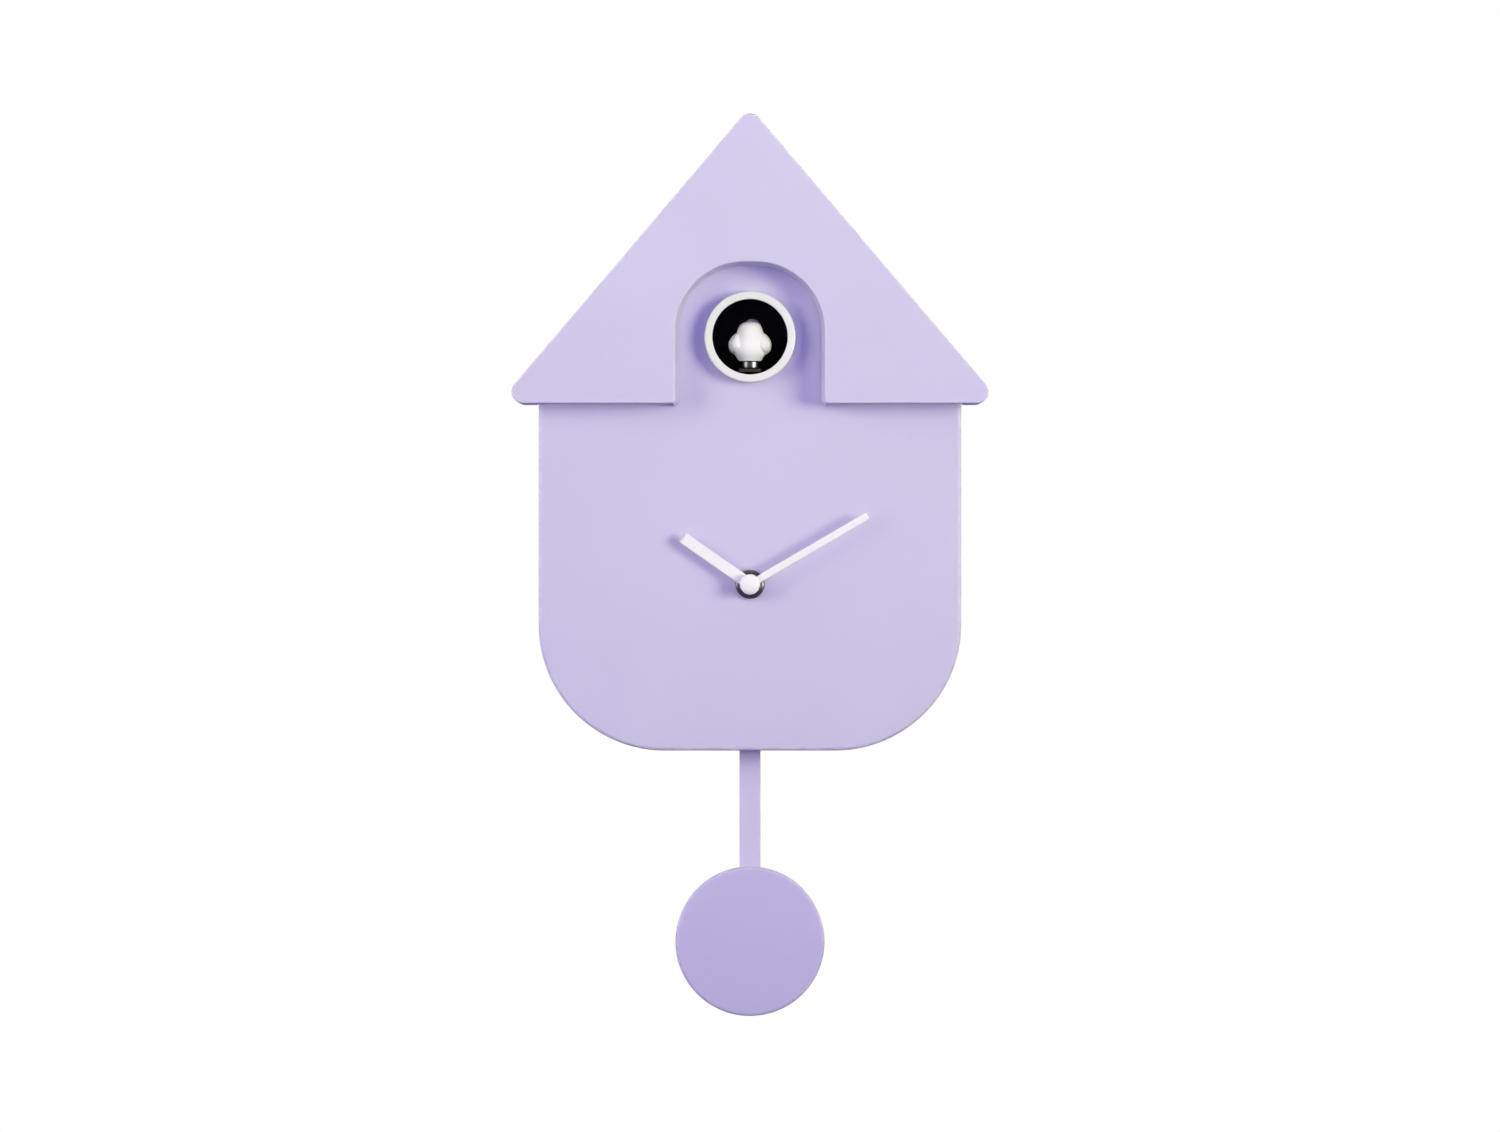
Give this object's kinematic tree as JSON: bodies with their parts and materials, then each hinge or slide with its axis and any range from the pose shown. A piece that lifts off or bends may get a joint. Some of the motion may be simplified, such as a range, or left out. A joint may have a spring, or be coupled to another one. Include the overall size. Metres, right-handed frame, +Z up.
{
  "type": "wall-hung cuckoo clock with pendulum",
  "caption": "House-shaped wall cuckoo clock: pitched roof with an arched niche, round bird window with a sliding bird, two hands, rounded lower corners and a swinging disc pendulum.",
  "frame": {"origin": "the point on the wall plane where the wall hook bears in the hanging slot, 50 mm below the roof's apex", "axes": "+Z up, +X to the right as seen from the front, the clock faces -Y and its back lies on the wall plane y = 0"},
  "size_m": [0.215, 0.085, 0.4079],
  "materials": {
    "casing_lilac": "satin lilac moulding",
    "pendulum_lilac": "satin lilac moulding, a shade deeper",
    "bezel_white": "satin white",
    "bird_white": "smooth white",
    "hand_white": "white lacquer",
    "black_plastic": "fine matt black",
    "dark_chrome": "dark polished",
    "steel": "bright zinc",
    "brass": "turned",
    "gear_white": "moulded acetal",
    "copper": "enamelled wire",
    "board_green": "solder mask",
    "cell_wrap": "dark wrap over a cell",
    "paper_cone": "pressed paper",
    "sensor_clear": "clear bead"
  },
  "bodies": {
    "casing": {"back_cover": "casing_lilac", "battery_cell_1": "cell_wrap", "battery_cell_2": "cell_wrap", "battery_cell_3": "cell_wrap", "battery_tray": "black_plastic", "bird_chamber": "black_plastic", "bird_gearbox": "brass", "bird_motor": "steel", "body_shell": "casing_lilac", "chamber_cap": "black_plastic", "contact_bridge_bottom": "steel", "contact_bridge_top": "steel", "contact_negative": "steel", "contact_positive": "steel", "cover_screw_1": "steel", "cover_screw_2": "steel", "cover_screw_3": "steel", "cover_screw_4": "steel", "cover_screw_5": "steel", "drive_coil": "copper", "hand_nut": "dark_chrome", "light_sensor": "sensor_clear", "motor_bracket": "steel", "movement_bushing": "brass", "movement_case": "black_plastic", "movement_cover": "black_plastic", "pivot_pin": "steel", "quartz_board": "board_green", "roof_screw_1": "steel", "roof_screw_2": "steel", "roof_screw_3": "steel", "roof_shell": "casing_lilac", "sound_board": "board_green", "speaker_basket": "steel", "speaker_cone": "paper_cone", "speaker_magnet": "steel", "step_coil": "copper", "step_stator": "steel", "switch_housing": "steel", "window_ring": "bezel_white"},
    "pendulum": {"pendulum_hanger": "black_plastic", "hanger_magnet": "steel", "pendulum_rod": "pendulum_lilac", "pendulum_bob": "pendulum_lilac", "bob_weight": "steel", "bob_lid": "pendulum_lilac"},
    "minute_works": {"minute_arbor": "steel", "minute_hand": "hand_white", "hand_cap": "hand_white"},
    "hour_works": {"hour_wheel": "gear_white", "hour_hand": "hand_white"},
    "minute_wheel_set": {"minute_wheel": "gear_white"},
    "setting_works": {"setting_arbor": "gear_white", "setting_knob": "black_plastic"},
    "bird_slide": {"bird": "bird_white", "bird_perch": "dark_chrome", "bird_carriage": "black_plastic"},
    "bird_pinion_set": {"bird_pinion": "gear_white"},
    "battery_lid": {"battery_door": "casing_lilac"},
    "switch_slide": {"mode_switch": "black_plastic"}
  },
  "joints": [
    {"name": "pendulum_swing", "type": "hinge", "parent": "casing", "child": "pendulum", "pos_m": [0, -0.0412, -0.14], "axis": [0, 1, 0], "range_deg": [-6, 6]},
    {"name": "minute_spin", "type": "hinge", "parent": "casing", "child": "minute_works", "pos_m": [0, -0.068, -0.162], "axis": [0, 1, 0], "continuous": true},
    {"name": "hour_spin", "type": "hinge", "parent": "casing", "child": "hour_works", "pos_m": [0, -0.068, -0.162], "axis": [0, 1, 0], "continuous": true},
    {"name": "minute_wheel_spin", "type": "hinge", "parent": "casing", "child": "minute_wheel_set", "pos_m": [0.01039, -0.06, -0.168], "axis": [0, 1, 0], "continuous": true},
    {"name": "setting_spin", "type": "hinge", "parent": "casing", "child": "setting_works", "pos_m": [0.01639, -0.03, -0.17839], "axis": [0, 1, 0], "continuous": true},
    {"name": "bird_out", "type": "slide", "parent": "casing", "child": "bird_slide", "axis": [0, -1, 0], "range_m": [0, 0.02]},
    {"name": "bird_pinion_spin", "type": "hinge", "parent": "casing", "child": "bird_pinion_set", "pos_m": [0, -0.038, -0.0802], "axis": [1, 0, 0], "range_deg": [-1, 240]},
    {"name": "battery_lid_off", "type": "slide", "parent": "casing", "child": "battery_lid", "axis": [0, 1, 0], "range_m": [0, 0.04]},
    {"name": "mode_slide", "type": "slide", "parent": "casing", "child": "switch_slide", "axis": [1, 0, 0], "range_m": [0, 0.006]}
  ],
  "couplings": [
    {"joint": "hour_spin", "follows": "minute_spin", "ratio": 0.083333},
    {"joint": "minute_wheel_spin", "follows": "minute_spin", "ratio": -0.33333},
    {"joint": "setting_spin", "follows": "minute_spin", "ratio": 1},
    {"joint": "bird_pinion_spin", "follows": "bird_out", "rad_per_m": 208.33}
  ]
}
